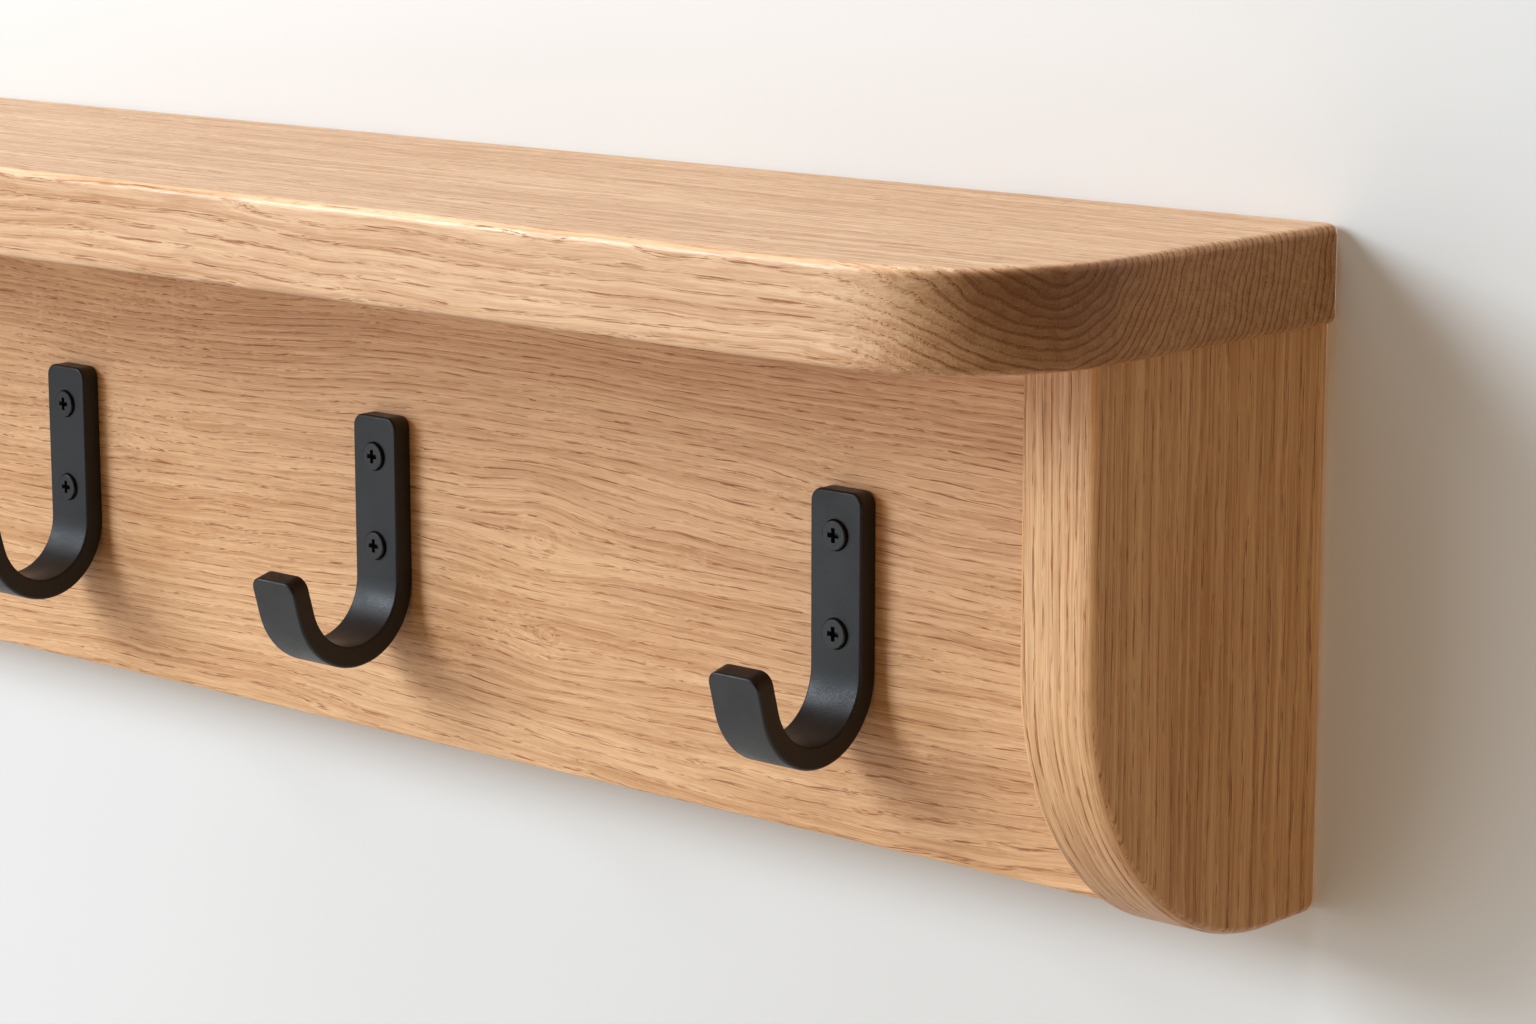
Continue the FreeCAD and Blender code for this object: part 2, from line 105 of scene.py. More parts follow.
class Graph:
    """Adds nodes to one node tree and joins them."""

    def __init__(self, tree):
        self.tree = tree

    def feed(self, socket, value):
        """Join a socket to another one, or set its value."""
        if isinstance(value, bpy.types.NodeSocket):
            self.tree.links.new(value, socket)
        else:
            socket.default_value = value

    def add(self, kind, settings=None, **inputs):
        """New node with its settings and inputs; an underscore is a space in an input's name."""
        node = self.tree.nodes.new(kind)
        for name, value in (settings or {}).items():
            setattr(node, name, value)
        for name, value in inputs.items():
            self.feed(node.inputs[name.replace("_", " ")], value)
        return node

    def math(self, operation, *values):
        node = self.add("ShaderNodeMath", {"operation": operation})
        for socket, value in zip(node.inputs, values):
            self.feed(socket, value)
        return node.outputs[0]

    def total(self, *values):
        result = values[0]
        for value in values[1:]:
            result = self.math("ADD", result, value)
        return result

    def times(self, *values):
        result = values[0]
        for value in values[1:]:
            result = self.math("MULTIPLY", result, value)
        return result

    def ramp(self, value, low, high, start=0.0, finish=1.0):
        """Smooth step from start to finish while the value goes from low to high."""
        node = self.add("ShaderNodeMapRange", {"interpolation_type": "SMOOTHSTEP"}, Value=value)
        node.inputs["From Min"].default_value = low
        node.inputs["From Max"].default_value = high
        node.inputs["To Min"].default_value = start
        node.inputs["To Max"].default_value = finish
        return node.outputs["Result"]

    def split(self, vector):
        return self.add("ShaderNodeSeparateXYZ", Vector=vector).outputs

    def join(self, x, y, z):
        return self.add("ShaderNodeCombineXYZ", X=x, Y=y, Z=z).outputs["Vector"]

    def vector(self, operation, a, b):
        node = self.add("ShaderNodeVectorMath", {"operation": operation})
        self.feed(node.inputs[0], a)
        self.feed(node.inputs[1], b)
        return node.outputs["Vector"]

    def noise(self, vector, stretch, detail=2.0, roughness=0.5, output="Fac"):
        """Noise of a position in millimetres, with grains of the stretch's size on each axis."""
        scaled = self.vector("DIVIDE", vector, stretch)
        node = self.add("ShaderNodeTexNoise", Vector=scaled, Scale=1.0, Detail=detail)
        node.inputs["Roughness"].default_value = roughness
        return node.outputs[output]

    def mix(self, factor, a, b, blend="MIX"):
        node = self.add("ShaderNodeMix", {"data_type": "RGBA", "blend_type": blend})
        self.feed(node.inputs[0], factor)
        self.feed(node.inputs[6], a)
        self.feed(node.inputs[7], b)
        return node.outputs[2]

    def blend(self, factor, a, b):
        node = self.add("ShaderNodeMix", {"data_type": "FLOAT"})
        self.feed(node.inputs[0], factor)
        self.feed(node.inputs[2], a)
        self.feed(node.inputs[3], b)
        return node.outputs[0]

    def group(self, tree, **inputs):
        return self.add("ShaderNodeGroup", {"node_tree": tree}, **inputs)


def new_group(name, inputs, outputs):
    """Empty node group with named sockets; returns its graph, inputs and output node."""
    tree = bpy.data.node_groups.new(name, "ShaderNodeTree")
    for label, kind, default in inputs:
        socket = tree.interface.new_socket(
            name=label, in_out="INPUT", socket_type="NodeSocket" + kind)
        if default is not None:
            socket.default_value = default
    for label, kind in outputs:
        tree.interface.new_socket(
            name=label, in_out="OUTPUT", socket_type="NodeSocket" + kind)
    graph = Graph(tree)
    entry = tree.nodes.new("NodeGroupInput")
    leave = tree.nodes.new("NodeGroupOutput")
    return graph, entry.outputs, leave


def knot_swell_group():
    """Pushes the grain out round a knot. Its position is along, across and through the board."""
    name = "knot_swell"
    if name in bpy.data.node_groups:
        return bpy.data.node_groups[name]
    graph, given, leave = new_group(
        name,
        [
            ("Position", "Vector", None),
            ("Knot", "Vector", (0, 0, 0)),
            ("Radius", "Float", 5.0),
            ("Push", "Float", 0.8),
        ],
        [("Position", "Vector"), ("Core", "Float"), ("Reach", "Float")],
    )
    offset = graph.vector("SUBTRACT", given["Position"], given["Knot"])
    parts = graph.split(offset)
    along = graph.math("POWER", graph.math("DIVIDE", parts["X"], 1.5), 2.0)
    reach = graph.math("SQRT", graph.total(along, graph.math("POWER", parts["Y"], 2.0)))
    relative = graph.math("DIVIDE", reach, given["Radius"])
    fall = graph.math("POWER", graph.times(relative, 0.26), 2.0)
    fall = graph.math("EXPONENT", graph.times(fall, -1.0))
    push = graph.times(fall, given["Push"], parts["Y"], -1.0)
    moved = graph.vector("ADD", given["Position"], graph.join(0.0, push, 0.0))
    graph.feed(leave.inputs["Position"], moved)
    graph.feed(leave.inputs["Core"], graph.ramp(relative, 1.2, 0.7))
    graph.feed(leave.inputs["Reach"], reach)
    return graph.tree


def log_rings_group():
    """Growth rings of a log. Position is along, across and through the board, in millimetres."""
    name = "log_rings"
    if name in bpy.data.node_groups:
        return bpy.data.node_groups[name]
    graph, given, leave = new_group(
        name,
        [
            ("Position", "Vector", None),
            ("Pith", "Vector", (0, 0, 0)),
            ("Ring Spacing", "Float", 2.5),
            ("Wander", "Float", 8.0),
            ("Ripple", "Float", 1.0),
            ("Seed", "Float", 0.0),
        ],
        [("Ring", "Float"), ("Angle", "Float"), ("Grain", "Vector")],
    )
    shift = graph.join(given["Seed"], given["Seed"], given["Seed"])
    seeded = graph.vector("ADD", given["Position"], shift)
    swings = []
    for stretch, detail in ((BROAD_SWING, 1.0), (MIDDLE_SWING, 1.5), (FINE_SWING, 1.0)):
        colour = graph.noise(seeded, stretch, detail=detail, output="Color")
        swings.append(graph.vector("SUBTRACT", colour, (0.5, 0.5, 0.5)))
    broad = graph.vector("MULTIPLY", swings[0], graph.join(0.0, given["Wander"], given["Wander"]))
    ripple = graph.times(given["Ripple"], 3.2)
    middle = graph.vector("MULTIPLY", swings[1], graph.join(0.0, ripple, ripple))
    tremble = graph.times(given["Ripple"], 0.75)
    fine = graph.vector("MULTIPLY", swings[2], graph.join(0.0, tremble, tremble))
    grain = graph.vector("ADD", given["Position"], broad)
    grain = graph.vector("ADD", grain, middle)
    grain = graph.vector("ADD", grain, fine)

    parts = graph.split(graph.vector("SUBTRACT", grain, given["Pith"]))
    across = graph.math("POWER", parts["Y"], 2.0)
    through = graph.math("POWER", parts["Z"], 2.0)
    radius = graph.math("SQRT", graph.total(across, through))
    graph.feed(leave.inputs["Ring"], graph.math("DIVIDE", radius, given["Ring Spacing"]))
    graph.feed(leave.inputs["Angle"], graph.math("ARCTAN2", parts["Z"], parts["Y"]))
    graph.feed(leave.inputs["Grain"], grain)
    return graph.tree


def edge_grain_group():
    """Straight grain on a bracket's sides, and grain that follows its front edge and curve."""
    name = "edge_grain"
    if name in bpy.data.node_groups:
        return bpy.data.node_groups[name]
    graph, given, leave = new_group(
        name,
        [
            ("Position", "Vector", None),
            ("Curve Centre", "Vector", (0, 0, 0)),
            ("Edge Mask", "Float", 0.0),
        ],
        [("Position", "Vector")],
    )
    place = graph.split(given["Position"])
    offset = graph.split(graph.vector("SUBTRACT", given["Position"], given["Curve Centre"]))
    down = graph.math("MINIMUM", offset["X"], 0.0)
    out = graph.math("MINIMUM", offset["Y"], 0.0)
    radius = graph.math("SQRT", graph.total(graph.times(down, down), graph.times(out, out)))
    angle = graph.math("ARCTAN2", graph.times(down, -1.0), graph.times(out, -1.0))
    centre = graph.split(given["Curve Centre"])
    straight = graph.math("MAXIMUM", place["X"], centre["X"])
    along = graph.math("SUBTRACT", straight, graph.times(angle, radius))
    across = graph.math("SUBTRACT", centre["Y"], radius)
    bent = graph.join(along, across, place["Z"])
    mixed = graph.add("ShaderNodeMix", {"data_type": "VECTOR"})
    graph.feed(mixed.inputs[0], given["Edge Mask"])
    graph.feed(mixed.inputs[4], given["Position"])
    graph.feed(mixed.inputs[5], bent)
    graph.feed(leave.inputs["Position"], mixed.outputs[1])
    return graph.tree


def oak_grain_group():
    """Colour, roughness and height of planed and oiled oak from its growth rings."""
    name = "oak_grain"
    if name in bpy.data.node_groups:
        return bpy.data.node_groups[name]
    graph, given, leave = new_group(
        name,
        [
            ("Ring", "Float", 0.0),
            ("Angle", "Float", 0.0),
            ("Grain", "Vector", None),
            ("End", "Float", 0.0),
            ("Light", "Color", (0.6, 0.4, 0.22, 1)),
            ("Dark", "Color", (0.3, 0.17, 0.08, 1)),
            ("Pore", "Color", (0.12, 0.06, 0.03, 1)),
            ("Figure", "Float", 1.0),
            ("Pore Amount", "Float", 1.0),
        ],
        [("Color", "Color"), ("Roughness", "Float"), ("Height", "Float")],
    )
    phase = graph.math("FRACT", given["Ring"])
    count = graph.math("FLOOR", given["Ring"])
    year = graph.add("ShaderNodeTexWhiteNoise", {"noise_dimensions": "1D"}, W=count)
    year = year.outputs["Value"]
    early = graph.times(graph.ramp(phase, 0.0, 0.06), graph.ramp(phase, 0.16, 0.46, 1.0, 0.0))
    late = graph.times(graph.ramp(phase, 0.4, 0.92), graph.ramp(phase, 0.96, 1.0, 1.0, 0.0))

    fibre = graph.noise(given["Grain"], FIBRES, detail=3.0, roughness=0.6)
    streak = graph.noise(given["Grain"], STREAKS, detail=2.0)
    cloud = graph.noise(given["Grain"], CLOUDS, detail=2.0)
    tone = graph.total(
        graph.times(late, graph.blend(year, 0.1, 0.36)),
        graph.times(early, graph.blend(year, 0.0, 0.3)),
        graph.ramp(fibre, 0.25, 0.75, -0.26, 0.26),
        graph.ramp(streak, 0.25, 0.75, -0.24, 0.24),
        graph.ramp(cloud, 0.3, 0.7, -0.14, 0.14),
    )
    tone = graph.total(graph.times(tone, given["Figure"]), 0.26)
    tone = graph.total(tone, graph.times(early, given["End"], graph.blend(year, 0.3, 1.0)))
    heart = graph.times(graph.ramp(given["Ring"], HEART_OUTER, HEART_INNER), given["End"])
    tone = graph.total(tone, graph.times(heart, 0.2))
    tone = graph.add("ShaderNodeClamp", Value=tone).outputs["Result"]
    colour = graph.mix(tone, given["Light"], given["Dark"])

    long = graph.noise(given["Grain"], LONG_PORES, detail=1.0)
    long = graph.ramp(long, 0.55, 0.64)
    short = graph.noise(given["Grain"], SHORT_PORES, detail=0.5)
    short = graph.times(graph.ramp(short, 0.6, 0.69), 0.85)
    rows = graph.blend(early, 0.2, 1.0)
    pores = graph.times(graph.math("MAXIMUM", long, short), rows, given["Pore Amount"])
    pores = graph.add("ShaderNodeClamp", Value=pores).outputs["Result"]
    colour = graph.mix(graph.times(pores, 0.8), colour, given["Pore"])

    turned = graph.join(
        graph.times(given["Angle"], 95.0),
        graph.math("DIVIDE", graph.split(given["Grain"])["X"], 5.0),
        graph.times(given["Ring"], 0.06),
    )
    ray = graph.add("ShaderNodeTexNoise", Vector=turned, Scale=1.0, Detail=1.0).outputs["Fac"]
    ray = graph.ramp(ray, 0.62, 0.72)
    pale = graph.mix(0.55, colour, given["Light"])
    colour = graph.mix(graph.times(ray, 0.35), colour, pale)

    soak = graph.mix(1.0, colour, END_SOAK, "MULTIPLY")
    colour = graph.mix(graph.times(given["End"], 0.85), colour, soak)
    darker = graph.mix(1.0, colour, HEART_SHADE, "MULTIPLY")
    colour = graph.mix(graph.times(heart, 0.85), colour, darker)
    rough = graph.total(
        0.4,
        graph.times(pores, 0.3),
        graph.ramp(fibre, 0.3, 0.7, -0.04, 0.05),
        graph.times(given["End"], 0.1),
    )
    height = graph.total(
        graph.times(pores, -1.0),
        graph.ramp(fibre, 0.2, 0.8, -0.12, 0.12),
        graph.times(late, 0.12),
    )
    graph.feed(leave.inputs["Color"], colour)
    graph.feed(leave.inputs["Roughness"], rough)
    graph.feed(leave.inputs["Height"], height)
    return graph.tree


def eased_edges_group():
    """Mask of the rounded arrises, where the surface turns between an axis and its plane."""
    name = "eased_edges"
    if name in bpy.data.node_groups:
        return bpy.data.node_groups[name]
    graph, given, leave = new_group(
        name,
        [("Axis", "Vector", (0, 0, 1)), ("Position", "Vector", None)],
        [("Edge", "Float")],
    )
    normal = graph.add("ShaderNodeNewGeometry").outputs["Normal"]
    dot = graph.add("ShaderNodeVectorMath", {"operation": "DOT_PRODUCT"})
    graph.feed(dot.inputs[0], normal)
    graph.feed(dot.inputs[1], given["Axis"])
    facing = graph.math("ABSOLUTE", dot.outputs["Value"])
    level = graph.math("SQRT", graph.math("SUBTRACT", 1.0, graph.times(facing, facing, 0.999)))
    band = graph.ramp(graph.math("MINIMUM", facing, level), 0.12, 0.55)
    # Patchy edge lightening: rubbed wear, and on the oak also a painted highlight along the arris
    wear_and_highlight_patches = graph.noise(given["Position"], WEAR_AND_HIGHLIGHT_PATCHES, detail=3.0)
    graph.feed(leave.inputs["Edge"], graph.times(band, graph.ramp(wear_and_highlight_patches, 0.3, 0.65, 0.45, 1.0)))
    return graph.tree


def powder_group():
    """Fine grit of a baked powder coat, with faint unevenness and handling marks."""
    name = "powder_coat_grit"
    if name in bpy.data.node_groups:
        return bpy.data.node_groups[name]
    graph, given, leave = new_group(
        name,
        [("Position", "Vector", None), ("Grit", "Float", 0.5)],
        [("Shade", "Float"), ("Roughness", "Float"), ("Height", "Float")],
    )
    grit = graph.join(given["Grit"], given["Grit"], given["Grit"])
    scaled = graph.vector("DIVIDE", given["Position"], grit)
    fine = graph.add("ShaderNodeTexNoise", Vector=scaled, Scale=1.0, Detail=2.0).outputs["Fac"]
    cells = graph.add("ShaderNodeTexVoronoi", Vector=scaled, Scale=0.8).outputs["Distance"]
    uneven = graph.noise(given["Position"], (14.0, 14.0, 14.0), detail=3.0)
    shade = graph.total(
        graph.ramp(fine, 0.3, 0.7, -0.25, 0.25),
        graph.ramp(uneven, 0.3, 0.7, -0.3, 0.3),
    )
    rough = graph.total(
        graph.ramp(fine, 0.3, 0.7, -0.06, 0.06),
        graph.ramp(uneven, 0.35, 0.65, -0.05, 0.05),
    )
    height = graph.total(graph.times(fine, 0.6), graph.times(cells, 0.5))
    graph.feed(leave.inputs["Shade"], shade)
    graph.feed(leave.inputs["Roughness"], rough)
    graph.feed(leave.inputs["Height"], height)
    return graph.tree


def position_mm(graph, order="XYZ"):
    """Object position in millimetres, with its axes taken in the given order."""
    place = graph.add("ShaderNodeTexCoord").outputs["Object"]
    scaled = graph.vector("MULTIPLY", place, (1000.0, 1000.0, 1000.0))
    parts = graph.split(scaled)
    return graph.join(parts[order[0]], parts[order[1]], parts[order[2]])


def new_material(name):
    """Material with an empty tree but for its output; returns the material and its graph."""
    material = bpy.data.materials.new(name)
    material.use_nodes = True
    material.node_tree.nodes.clear()
    return material, Graph(material.node_tree)


def finish_material(graph, shader):
    output = graph.tree.nodes.new("ShaderNodeOutputMaterial")
    graph.tree.links.new(shader.outputs[0], output.inputs["Surface"])


def tinted(colour, tint):
    """Opaque colour, each channel times its own factor."""
    return (*[channel * share for channel, share in zip(colour, tint)], 1)


def oak_material(name, oak, order, edge_axis, pith, seed, spacing, wander, ripple,
                 tint, knots=(), figure=1.0, pore_amount=1.0, curve=None):
    """Oiled oak whose grain runs along the first axis of the order."""
    material, graph = new_material(name)
    position = position_mm(graph, order)
    normal = graph.split(graph.add("ShaderNodeNewGeometry").outputs["Normal"])
    end = graph.ramp(graph.math("ABSOLUTE", normal[order[0]]), 0.22, 0.78)
    if curve:
        edge = graph.ramp(graph.math("ABSOLUTE", normal[order[2]]), 0.75, 0.65)
        bent = graph.group(
            edge_grain_group(), Position=position, Edge_Mask=edge, Curve_Centre=curve)
        position = bent.outputs["Position"]
        end = graph.times(end, 0.25)
    swells = []
    for place, radius, push in knots:
        swell = graph.group(
            knot_swell_group(), Position=position, Knot=place, Radius=radius, Push=push)
        position = swell.outputs["Position"]
        swells.append(swell)
    rings = graph.group(
        log_rings_group(),
        Position=position,
        Pith=pith,
        Ring_Spacing=spacing,
        Wander=wander,
        Ripple=ripple,
        Seed=seed,
    )
    ring = rings.outputs["Ring"]
    for swell in swells:
        own = graph.math("DIVIDE", swell.outputs["Reach"], 1.6)
        ring = graph.blend(swell.outputs["Core"], ring, own)
    wood = graph.group(
        oak_grain_group(),
        Ring=ring,
        Angle=rings.outputs["Angle"],
        Grain=rings.outputs["Grain"],
        End=end,
        Light=tinted(oak.light, tint),
        Dark=tinted(oak.dark, tint),
        Pore=(*oak.pore, 1),
        Figure=figure,
        Pore_Amount=pore_amount,
    )
    edges = graph.group(eased_edges_group(), Position=position, Axis=edge_axis)
    edge = edges.outputs["Edge"]
    # Eased edges lighter and whiter: rubbed wear and a painted highlight along the arris
    worn_and_highlit = graph.mix(1.0, wood.outputs["Color"], EDGE_WEAR_AND_HIGHLIGHT, "MULTIPLY")
    colour = graph.mix(graph.times(edge, 0.8), wood.outputs["Color"], worn_and_highlit)
    rough = graph.math("SUBTRACT", wood.outputs["Roughness"], graph.times(edge, 0.14))
    bump = graph.add("ShaderNodeBump", Height=wood.outputs["Height"])
    bump.inputs["Strength"].default_value = 0.5
    bump.inputs["Distance"].default_value = oak.relief
    shader = graph.add("ShaderNodeBsdfPrincipled", Base_Color=colour, Roughness=rough)
    graph.feed(shader.inputs["Normal"], bump.outputs["Normal"])
    shader.inputs["Specular IOR Level"].default_value = 0.42
    finish_material(graph, shader)
    return material


def coated_metal(name, colour, roughness, grit, relief, specular=0.35):
    """Black coated steel with a fine grit and slightly rubbed edges."""
    material, graph = new_material(name)
    position = position_mm(graph)
    coat = graph.group(powder_group(), Position=position, Grit=grit)
    edges = graph.group(eased_edges_group(), Position=position, Axis=(1, 0, 0))
    edge = edges.outputs["Edge"]
    tone = graph.total(0.5, coat.outputs["Shade"])
    base = graph.mix(tone, tinted(colour, [0.75] * 3), tinted(colour, [1.25] * 3))
    base = graph.mix(graph.times(edge, 0.5), base, tinted(colour, [1.5] * 3))
    rough = graph.total(coat.outputs["Roughness"], roughness)
    rough = graph.math("SUBTRACT", rough, graph.times(edge, 0.05))
    bump = graph.add("ShaderNodeBump", Height=coat.outputs["Height"])
    bump.inputs["Strength"].default_value = 0.6
    bump.inputs["Distance"].default_value = relief
    shader = graph.add("ShaderNodeBsdfPrincipled", Base_Color=base, Roughness=rough)
    graph.feed(shader.inputs["Normal"], bump.outputs["Normal"])
    shader.inputs["Specular IOR Level"].default_value = specular
    finish_material(graph, shader)
    return material


def plated_steel(name):
    """Zinc-plated sheet steel: brushed lines, dull blotches and a soft sheen."""
    material, graph = new_material(name)
    position = position_mm(graph)
    lines = graph.noise(position, BRUSHED_LINES, detail=2.0)
    blotch = graph.noise(position, (5.0, 5.0, 5.0), detail=4.0)
    tone = graph.total(
        graph.ramp(lines, 0.3, 0.7, 0.0, 0.5),
        graph.ramp(blotch, 0.35, 0.7, 0.0, 0.5),
    )
    base = graph.mix(tone, ZINC_DARK, ZINC_LIGHT)
    rough = graph.total(
        0.3,
        graph.ramp(lines, 0.3, 0.7, 0.0, 0.1),
        graph.ramp(blotch, 0.3, 0.7, 0.0, 0.12),
    )
    bump = graph.add("ShaderNodeBump", Height=lines)
    bump.inputs["Strength"].default_value = 0.3
    bump.inputs["Distance"].default_value = 0.02 * MM
    shader = graph.add("ShaderNodeBsdfPrincipled", Base_Color=base, Roughness=rough)
    shader.inputs["Metallic"].default_value = 1.0
    graph.feed(shader.inputs["Normal"], bump.outputs["Normal"])
    finish_material(graph, shader)
    return material


def stage_material(name, colour, glow=0.0):
    """Plain matt paint that is seen only from its front, with a glow where light falls short."""
    material, graph = new_material(name)
    position = position_mm(graph)
    mottle = graph.noise(position, (220.0, 220.0, 220.0), detail=3.0)
    darker = tinted(colour, [0.985] * 3)
    base = graph.mix(graph.ramp(mottle, 0.3, 0.7), darker, (*colour, 1))
    paint = graph.add("ShaderNodeBsdfPrincipled", Base_Color=base)
    paint.inputs["Roughness"].default_value = 0.9
    paint.inputs["Specular IOR Level"].default_value = 0.15
    paint.inputs["Emission Color"].default_value = (*colour, 1)
    paint.inputs["Emission Strength"].default_value = glow
    clear = graph.add("ShaderNodeBsdfTransparent")
    behind = graph.add("ShaderNodeNewGeometry").outputs["Backfacing"]
    choice = graph.add("ShaderNodeMixShader", Fac=behind)
    graph.tree.links.new(paint.outputs[0], choice.inputs[1])
    graph.tree.links.new(clear.outputs[0], choice.inputs[2])
    finish_material(graph, choice)
    return material


def dress(node, material):
    """Give every material slot of a CAD node the same finish."""
    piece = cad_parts[node]
    if not piece.material_slots:
        piece.data.materials.append(None)
    for holder in piece.material_slots:
        holder.link = "OBJECT"
        holder.material = material
    return piece


# Settings

def colour_setting(name, description, default):
    return bpy.props.FloatVectorProperty(
        name=name, description=description, subtype="COLOR", size=3, default=default, min=0, max=1)


def number_setting(name, description, default, **limits):
    return bpy.props.FloatProperty(name=name, description=description, default=default, **limits)


def length_setting(name, description, default, least=0):
    return number_setting(name, description, default, min=least, unit="LENGTH")


def power_setting(name, description, default):
    return number_setting(name, description, default, min=0, unit="POWER")


def angle_setting(name, description, degrees):
    return number_setting(name, description, math.radians(degrees), subtype="ANGLE")


class OakSettings(bpy.types.PropertyGroup):
    """Colours and relief of the oak."""

    light: colour_setting("Light wood", "Oak between its growth lines", (0.88, 0.59, 0.345))
    dark: colour_setting("Late wood", "Oak at its growth lines", (0.52, 0.25, 0.095))
    pore: colour_setting("Pores", "Open pores of the early wood", (0.29, 0.075, 0.012))
    bracket_curve: length_setting(
        "Bracket curve", "Radius that the grain follows round the brackets' corners", 85.0 * MM)
    relief: length_setting("Pore depth", "Depth of the pores under the oil", 0.14 * MM)


class MetalSettings(bpy.types.PropertyGroup):
    """Finish of the hooks and their screws."""

    coat: colour_setting("Powder coat", "Colour of the hooks", (0.0088, 0.009, 0.009))
    screw: colour_setting("Screw", "Colour of the hook screws", (0.0095, 0.0095, 0.0095))
    roughness: number_setting("Roughness", "Dullness of the powder coat", 0.46, min=0, max=1)
    grit: number_setting(
        "Grit", "Size of the powder coat's grain in millimetres", 0.45, min=0.05)


class StageSettings(bpy.types.PropertyGroup):
    """Wall, floor, lights and camera."""

    wall: colour_setting("Wall", "Colour of the wall, floor and backdrop", (0.86, 0.87, 0.865))
    floor_drop: length_setting(
        "Height above floor", "From the floor to the wall-plane origin", 1.6, least=0.3)
    azimuth: angle_setting("Camera azimuth", "Turn of the camera to the rack's right", 41.54)
    elevation: angle_setting("Camera elevation", "Tilt of the camera's view below level", 10.96)
    lens: number_setting("Lens", "Focal length in millimetres", 94.3, min=10)
    key_power: power_setting("Key light", "Power of the upper left light", 103.0)
    window_power: power_setting("Window light", "Power of the broad light on the left", 37.0)
    top_power: power_setting("Top light", "Power of the soft light overhead", 21.0)
    fill_power: power_setting("Fill light", "Power of the weak light from below", 4.0)
    rear_power: power_setting("Rear light", "Power of the light behind the wall", 4.0)
    ambient: number_setting("Ambient", "Strength of the even light all round", 0.285, min=0)


# Operators

class RACK_OT_shelf(bpy.types.Operator):
    """Finish the shelf in oak, grain along its length and growth rings on its ends"""

    bl_idname = "rack.shelf"
    bl_label = "Shelf"

    def execute(self, context):
        low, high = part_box("shelf")
        depth = (high - low).y / MM
        # The pith lies a little above the shelf, towards its front
        pith = (0.0, -0.79 * depth, 10.0 + high.z / MM)
        # The shelf's tint makes its oak brighter and paler than the board's: painted sheen and
        # light on its lit top and front
        dress("shelf", oak_material(
            "oak_shelf", context.scene.rack_oak, "XYZ", (0, 0, 1), pith,
            seed=11.0, spacing=2.7, wander=12.0, ripple=1.7, tint=(1.04, 1.02, 1.03)))
        return {"FINISHED"}


class RACK_OT_board(bpy.types.Operator):
    """Finish the back board in oak with wavy grain and a small knot between two hooks"""

    bl_idname = "rack.board"
    bl_label = "Back board"

    def execute(self, context):
        low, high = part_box("back_board")
        front = low.y / MM
        middle = (low.z + high.z) / 2 / MM
        # Place, radius and push of each knot
        knots = (
            ((150.0, middle - 9.0, front), 4.5, 0.6),
            ((152.0, middle - 39.0, front), 3.5, 0.45),
        )
        pith = (0.0, low.z / MM - 60.0, front + 75.0)
        # The board's tint makes its oak warmer and deeper than the shelf's: painted warm shade
        # under the shelf
        dress("back_board", oak_material(
            "oak_board", context.scene.rack_oak, "XZY", (0, 0, 1), pith,
            seed=57.0, spacing=2.7, wander=26.0, ripple=1.4, knots=knots, tint=(1.03, 0.95, 0.85)))
        return {"FINISHED"}


class RACK_OT_brackets(bpy.types.Operator):
    """Finish both side brackets in oak with straight upright grain"""

    bl_idname = "rack.brackets"
    bl_label = "Side brackets"

    def execute(self, context):
        radius = context.scene.rack_oak.bracket_curve / MM
        for number, side in enumerate(SIDES):
            low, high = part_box("bracket_" + side)
            inner = min(abs(low.x), abs(high.x)) / MM
            sign = -1 if low.x < 0 else 1
            pith = (0.0, 30.0, sign * (inner - 140.0))
            curve = (low.z / MM + radius, low.y / MM + radius, 0.0)
            # The brackets' tint makes their oak warmer and deeper than the shelf's: painted warm
            # shade on their sides and a painted brighter front
            dress("bracket_" + side, oak_material(
                "oak_bracket_" + side, context.scene.rack_oak, "ZYX", (1, 0, 0), pith,
                seed=211.0 + 97.0 * number, spacing=2.0, wander=7.0, ripple=0.7,
                tint=(1.04, 0.95, 0.83), figure=1.15, pore_amount=1.15, curve=curve))
        return {"FINISHED"}


class RACK_OT_hooks(bpy.types.Operator):
    """Coat the hooks in black powder"""

    bl_idname = "rack.hooks"
    bl_label = "Hooks"

    def execute(self, context):
        metal = context.scene.rack_metal
        coat = coated_metal("powder_coat", metal.coat, metal.roughness, metal.grit, 0.06 * MM)
        for name in HOOKS:
            dress(name, coat)
        return {"FINISHED"}


class RACK_OT_hook_screws(bpy.types.Operator):
    """Blacken the screws that hold the hooks"""

    bl_idname = "rack.hook_screws"
    bl_label = "Hook screws"

    def execute(self, context):
        metal = context.scene.rack_metal
        black = coated_metal("black_screw", metal.screw, metal.roughness - 0.08, 0.3, 0.02 * MM)
        for name in HOOK_SCREWS:
            dress(name, black)
        return {"FINISHED"}


class RACK_OT_hangers(bpy.types.Operator):
    """Zinc-plate the keyhole plates and their screws"""

    bl_idname = "rack.hangers"
    bl_label = "Keyhole hangers"

    def execute(self, context):
        zinc = plated_steel("zinc_steel")
        for side in SIDES:
            dress("hanger_plate_" + side, zinc)
            dress("hanger_screws_" + side, zinc)
        return {"FINISHED"}


